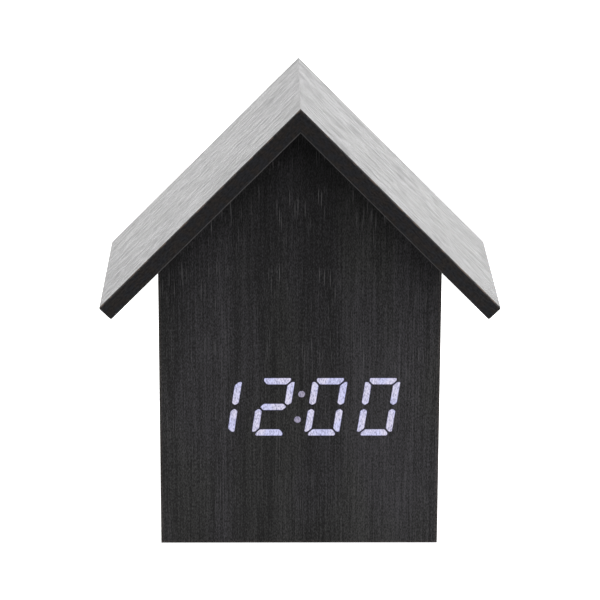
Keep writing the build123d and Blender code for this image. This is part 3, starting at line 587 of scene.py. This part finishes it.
def glow(name, dim, cool, warm):
    """Light through the veneer, broken up by its fibres, from lamps of slightly different tints."""
    graph = Graph(name)
    place = graph.place()
    fibres = graph.noise(place, *glow_fibres)
    lamps = graph.noise(place, *glow_lamps)
    bright = graph.mix(graph.fade(lamps, *glow_lamp_range), cool, warm)
    colour = graph.mix(graph.fade(fibres, *glow_fibre_range), dim, bright)
    roughness = graph.fade(fibres, *wide_range, glow_smooth, glow_rough)
    return graph.surface(Base_Color=glow_base, Roughness=roughness, IOR=veneer_ior,
                         Emission_Color=colour, Emission_Strength=1.0)


def veneer_finishes():
    """The veneer of each node whose grain isn't upright, and the upright one for the rest."""
    slope = math.sqrt(0.5)
    lying = veneer("black_veneer_lying", 90, wall_roughness)
    left = veneer("black_veneer_roof_left", -roof_tilt, roof_roughness, Vector((-slope, 0, slope)))
    right = veneer("black_veneer_roof_right", roof_tilt, roof_roughness, Vector((slope, 0, slope)))
    upright = veneer("black_veneer_upright", 0, wall_roughness)
    return {"base_panel": lying, "roof_board_left": left, "roof_board_right": right}, upright


def slot_finishes():
    """The finish of each of the record's slots, apart from the veneer's."""
    made = {"fibreboard": fibreboard(), "circuit_board": circuit_board()}
    for slot, settings in plastics.items():
        made[slot] = moulded(*settings)
    for slot, settings in metals.items():
        made[slot] = metal(*settings)
    return made


finishes = slot_finishes()


def dress_nodes():
    """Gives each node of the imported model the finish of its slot."""
    veneered, upright = veneer_finishes()
    for part in frame["record"]["subparts"]:
        if part["material_slot"] == "black_veneer":
            finish = veneered.get(part["node"], upright)
        else:
            finish = finishes[part["material_slot"]]
        for slot in frame["nodes"][part["node"]].material_slots:
            slot.material = finish


# Pieces

def as_object(name, mesh):
    """A bmesh as an object that isn't a piece yet."""
    data = bpy.data.meshes.new(name)
    mesh.to_mesh(data)
    mesh.free()
    made = bpy.data.objects.new(name, data)
    bpy.context.scene.collection.objects.link(made)
    return made


def new_piece(name, mesh, body, slot, material=None):
    """A bmesh as a piece of the object that rides on a body."""
    piece = as_object(name, mesh)
    piece.data.materials.append(material or finishes[slot])
    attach(piece, body)
    return piece


def smooth_piece(name, mesh, body, slot):
    """A piece that is shaded smooth, apart from its sharp corners."""
    for face in mesh.faces:
        face.smooth = True
    piece = new_piece(name, mesh, body, slot)
    piece.data.set_sharp_from_angle(angle=math.radians(sharp_angle))
    return piece


def lathe(profile):
    """A profile of radius and height turned about Z, as a bmesh."""
    mesh = bmesh.new()
    rings = [mesh.verts.new((radius, 0, height)) for radius, height in profile]
    sides = [mesh.edges.new(pair) for pair in zip(rings, rings[1:])]
    bmesh.ops.spin(mesh, geom=rings + sides, axis=(0, 0, 1), cent=(0, 0, 0), angle=math.tau,
                   steps=turn_steps, use_merge=True)
    bmesh.ops.remove_doubles(mesh, verts=mesh.verts, dist=turn_merge)
    bmesh.ops.recalc_face_normals(mesh, faces=mesh.faces)
    return mesh


def turned(name, profile, place, body, slot):
    """A piece turned about an axis: the profile is of radius and height, and place stands it up."""
    mesh = lathe(profile)
    bmesh.ops.transform(mesh, matrix=place, verts=mesh.verts)
    return smooth_piece(name, mesh, body, slot)


def quarter_round(radius, height, size):
    """Profile points of a rounded outer edge, from its side up and over to its top."""
    points = []
    for i in range(roll_steps + 1):
        turn = math.radians(90) * i / roll_steps
        points.append((radius - size + size * math.cos(turn), height - size + size * math.sin(turn)))
    return points


def press_button(node):
    """A round cap with a rolled edge and a dished top, on a flange behind the cover."""
    low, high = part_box(node)
    middle = (low + high) / 2
    top = high.y - low.y
    profile = [(0, 0), (button_flange_radius, 0), (button_flange_radius, button_flange_depth),
               (button_cap_radius, button_flange_depth)]
    profile += quarter_round(button_cap_radius, top, button_edge)
    for i in range(1, dome_steps + 1):
        share = i / dome_steps
        radius = (button_cap_radius - button_edge) * (1 - share)
        profile.append((radius, top - button_dish * math.sin(math.radians(90) * share)))
    place = Matrix.Translation((middle.x, low.y, middle.z)) @ out_of_back
    piece = turned(node + "_cap", profile, place, node, "button_plastic")
    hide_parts(node)


def cross_cutter(top):
    """The tapered cross that a screwdriver needs in a head, down from that height."""
    reach, half = screw_cross_length / 2, screw_cross_width / 2
    outline = []
    for turn in range(4):
        spin = Matrix.Rotation(math.radians(90 * turn), 2)
        outline += [spin @ Vector(corner) for corner in ((half, half), (half, reach), (-half, reach))]
    mesh = bmesh.new()
    low = [mesh.verts.new((*(screw_cross_taper * corner), top - screw_cross_depth)) for corner in outline]
    high = [mesh.verts.new((*corner, top + screw_head_roll)) for corner in outline]
    mesh.faces.new(low)
    mesh.faces.new(high)
    for i in range(len(outline)):
        mesh.faces.new((low[i - 1], low[i], high[i], high[i - 1]))
    bmesh.ops.recalc_face_normals(mesh, faces=mesh.faces)
    return mesh


def domed_head(top):
    """The profile of a screw's pan head, domed over a rolled edge, and of the start of its shank."""
    rim = top - screw_head_dome
    flat_radius = screw_head_radius - screw_head_roll
    profile = [(0, 0), (screw_shank_radius, 0), (screw_shank_radius, top - screw_head_height),
               (screw_head_radius, top - screw_head_height)]
    profile += quarter_round(screw_head_radius, rim, screw_head_roll)
    for i in range(1, dome_steps + 1):
        turn = math.radians(90) * i / dome_steps
        profile.append((flat_radius * math.cos(turn), rim + screw_head_dome * math.sin(turn)))
    return profile


def recessed_screw(length):
    """A screw that stands on Z, with a cross cut in its head, as mesh data."""
    screw = as_object("screw_blank", lathe(domed_head(length)))
    cutter = as_object("screw_cross", cross_cutter(length))
    cut = screw.modifiers.new("cross", "BOOLEAN")
    cut.operation = "DIFFERENCE"
    cut.object = cutter
    shaped = bpy.data.meshes.new_from_object(screw.evaluated_get(bpy.context.evaluated_depsgraph_get()))
    for made in (screw, cutter):
        data = made.data
        bpy.data.objects.remove(made)
        bpy.data.meshes.remove(data)
    clean = bmesh.new()
    clean.from_mesh(shaped)
    bmesh.ops.remove_doubles(clean, verts=clean.verts, dist=screw_merge)
    bmesh.ops.dissolve_degenerate(clean, edges=clean.edges, dist=screw_merge)
    clean.to_mesh(shaped)
    clean.free()
    return shaped


def cover_screws():
    """The four domed screws of the rear cover, each with its cross turned its own way."""
    low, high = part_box("rear_cover_screws")
    screw = recessed_screw(high.y - low.y)
    columns = (low.x + screw_head_radius, high.x - screw_head_radius)
    rows = (low.z + screw_head_radius, high.z - screw_head_radius)
    places = [(x, low.y, z) for z in rows for x in columns]
    mesh = bmesh.new()
    for place, turn in zip(places, screw_turns):
        made_before = len(mesh.verts)
        mesh.from_mesh(screw)
        spin = Matrix.Rotation(math.radians(turn), 4, "Z")
        matrix = Matrix.Translation(place) @ out_of_back @ spin
        bmesh.ops.transform(mesh, matrix=matrix, verts=mesh.verts[made_before:])
    bpy.data.meshes.remove(screw)
    piece = smooth_piece("rear_cover_screws_domed", mesh, "cabinet", "zinc_steel")
    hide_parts("rear_cover_screws")


def battery_cell(node, nub_side):
    """A cell in a plain sleeve that is rolled over both ends, with a pale band at its positive end."""
    low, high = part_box(node)
    middle = (low + high) / 2
    radius = (high.z - low.z) / 2
    length = high.x - low.x
    can = length - cell_nub_depth
    start_x = low.x if nub_side > 0 else high.x
    place = Matrix.Translation((start_x, middle.y, middle.z))
    place = place @ Matrix.Rotation(math.radians(90 * nub_side), 4, "Y")

    inner = radius - cell_lip_width
    top = quarter_round(radius, can, cell_sleeve_roll)
    foot = [(r, can - h) for r, h in reversed(top)]
    sleeve = [(inner, cell_lip_depth), (inner, 0)] + foot
    sleeve += top + [(inner, can), (inner, can - cell_lip_depth)]
    piece = turned(node + "_sleeve", sleeve + sleeve[:1], place, "cabinet", "cell_sleeve")
    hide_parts(node)

    steel_top = can - cell_end_inset
    steel = [(0, cell_end_inset), (inner, cell_end_inset), (inner, steel_top)]
    steel += [(cell_nub_radius + cell_nub_roll, steel_top)]
    steel += quarter_round(cell_nub_radius, length, cell_nub_roll) + [(0, length)]
    turned(node + "_steel", steel, place, "cabinet", "nickel_strip")

    sunk, stand = radius - cell_band_sink, radius + cell_band_stand
    band = [(sunk, can - cell_band_end), (stand, can - cell_band_end)]
    band += [(stand, can - cell_band_start), (sunk, can - cell_band_start)]
    turned(node + "_band", band + band[:1], place, "cabinet", "white_nylon")


def raised_marks():
    """Plain moulded marks above the buttons: a bar for setting, and arrows for up and down."""
    cover_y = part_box("rear_cover")[1].y
    half = mark_size / 2
    for node, outline in mark_shares.items():
        low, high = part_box(node)
        x = (low.x + high.x) / 2
        z = (low.z + high.z) / 2 + mark_rise
        mesh = bmesh.new()
        foot = [mesh.verts.new((x + across * half, cover_y, z + up * half)) for across, up in outline]
        face = mesh.faces.new(foot)
        grown = bmesh.ops.extrude_face_region(mesh, geom=[face])["geom"]
        top = [item for item in grown if isinstance(item, bmesh.types.BMVert)]
        bmesh.ops.translate(mesh, vec=(0, mark_height, 0), verts=top)
        bmesh.ops.recalc_face_normals(mesh, faces=mesh.faces)
        new_piece(node.replace("button", "mark"), mesh, "cabinet", "white_nylon")


def light_guide_fronts():
    """The front outline of each light guide, as a bmesh with one face each."""
    mesh = bmesh.new()
    mesh.from_mesh(frame["nodes"]["display_segments"].data)
    bmesh.ops.remove_doubles(mesh, verts=mesh.verts, dist=guide_merge)
    front_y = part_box("display_segments")[0].y
    hidden = [face for face in mesh.faces if max(v.co.y for v in face.verts) > front_y + guide_merge]
    bmesh.ops.delete(mesh, geom=hidden, context="FACES")
    bmesh.ops.dissolve_faces(mesh, faces=mesh.faces[:])
    return mesh


def named_bars(mesh):
    """The light guides of each digit by name, and the two dots of the colon."""
    low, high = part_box("display_segments")
    middle_z = (low.z + high.z) / 2
    lean = math.tan(math.radians(digit_lean))

    def level(face):
        return face.calc_center_bounds().z

    def upright_x(face):
        return face.calc_center_bounds().x - lean * (level(face) - middle_z)

    dots = [face for face in mesh.faces if len(face.verts) > bar_corners]
    bars = sorted((face for face in mesh.faces if len(face.verts) == bar_corners), key=upright_x)
    digits = []
    while bars:
        digit = {}
        for names in bar_columns:
            column, bars = bars[:len(names)], bars[len(names):]
            digit.update(zip(names, sorted(column, key=level)))
        digits.append(digit)
    return digits, dots


def glowing(name, faces, material, fringe):
    """Thin plates of light on the veneer, before lit light guides, with rounded corners and dim rims."""
    front_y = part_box("front_veneer")[0].y
    plate = bmesh.new()
    for face in faces:
        corners = [plate.verts.new((v.co.x, front_y, v.co.z)) for v in face.verts]
        plate.faces.new(corners)
    bmesh.ops.bevel(plate, geom=plate.verts[:], offset=glow_corner, segments=glow_corner_steps,
                    affect="VERTICES")
    rims = bmesh.ops.inset_individual(plate, faces=plate.faces[:], thickness=glow_fringe)["faces"]
    for rim in rims:
        rim.material_index = 1
    grown = bmesh.ops.extrude_face_region(plate, geom=plate.faces[:])["geom"]
    for vertex in (item for item in grown if isinstance(item, bmesh.types.BMVert)):
        vertex.co.y -= glow_stand
    bmesh.ops.recalc_face_normals(plate, faces=plate.faces)
    piece = new_piece(name, plate, "cabinet", "light_guide", material)
    piece.data.materials.append(fringe)


def lit_display():
    """The lit bars of the time, and the colon's two dots, whose rims are as bright as the rest."""
    fronts = light_guide_fronts()
    digits, dots = named_bars(fronts)
    bar_glow = glow("digit_glow", glow_dim, glow_cool, glow_warm)
    fringe_glow = glow("fringe_glow", fringe_dim, fringe_cool, fringe_warm)
    for i, (digit, figure) in enumerate(zip(digits, display_text)):
        glowing(f"lit_digit_{i + 1}", [digit[bar] for bar in lit_bars[figure]], bar_glow, fringe_glow)
    dot_glow = glow("colon_glow", colon_dim, colon_cool, colon_warm)
    glowing("lit_colon", dots, dot_glow, dot_glow)
    fronts.free()


# Stage

def stage_floor():
    """A pale floor, seen as white, that sends back less light in front of the clock."""
    bpy.ops.mesh.primitive_plane_add(size=floor_side, location=(0, 0, cad_box[0].z - floor_drop))
    floor = bpy.context.object
    floor.name = "floor"
    graph = Graph("pale_floor")
    seen = graph.node("ShaderNodeLightPath", {}, output="Is Camera Ray")
    depth = graph.along(graph.place(), (0, 1, 0))
    colour = graph.mix(graph.fade(depth, floor_shade_start, floor_shade_end), floor_white, floor_shade)
    graph.surface(Base_Color=colour, Roughness=floor_roughness, Specular_IOR_Level=0.0,
                  Emission_Color=floor_seen, Emission_Strength=seen)
    floor.data.materials.append(graph.material)


def softbox(name, place, target, width, height, radiance):
    """A rectangular light that shines evenly, and isn't seen itself."""
    light = bpy.data.lights.new(name, "AREA")
    light.shape = "RECTANGLE"
    light.size = width
    light.size_y = height
    light.energy = radiance * math.pi * width * height
    lamp = bpy.data.objects.new(name, light)
    lamp.location = place
    lamp.rotation_mode = "QUATERNION"
    lamp.rotation_quaternion = (Vector(target) - Vector(place)).to_track_quat("-Z", "Y")
    lamp.visible_camera = False
    bpy.context.scene.collection.objects.link(lamp)


def stage_world():
    """Surroundings that the camera sees as white, and that give the object a faint even light."""
    world = bpy.data.worlds.new("studio")
    bpy.context.scene.world = world
    world.use_nodes = True
    tree = world.node_tree
    path = tree.nodes.new("ShaderNodeLightPath")
    mix = tree.nodes.new("ShaderNodeMix")
    mix.data_type = "RGBA"
    mix.inputs[mix_first].default_value = world_fill
    mix.inputs[mix_second].default_value = world_seen
    tree.links.new(path.outputs["Is Camera Ray"], mix.inputs[mix_share])
    tree.links.new(mix.outputs[mix_result], tree.nodes["Background"].inputs["Color"])


def stage_camera():
    """The camera at the photograph's place, turned, tipped and rolled as it was."""
    data = bpy.data.cameras.new("camera")
    data.sensor_width = sensor_width
    data.lens = camera_lens
    data.clip_start = camera_near
    data.clip_end = camera_far
    camera = bpy.data.objects.new("camera", data)
    turn = Matrix.Rotation(math.radians(camera_yaw), 4, "Z")
    tip = Matrix.Rotation(math.radians(90 + camera_pitch), 4, "X")
    roll = Matrix.Rotation(math.radians(camera_roll), 4, "Z")
    camera.matrix_world = Matrix.Translation(camera_place) @ turn @ tip @ roll
    bpy.context.scene.collection.objects.link(camera)
    bpy.context.scene.camera = camera


dress_nodes()
lit_display()
for button_node in button_nodes:
    press_button(button_node)
for cell_node, side in cell_nub_sides.items():
    battery_cell(cell_node, side)
cover_screws()
raised_marks()
stage_floor()
for light_name, settings in lights.items():
    softbox(light_name, *settings)
stage_world()
stage_camera()
bpy.context.scene.view_settings.view_transform = "Standard"
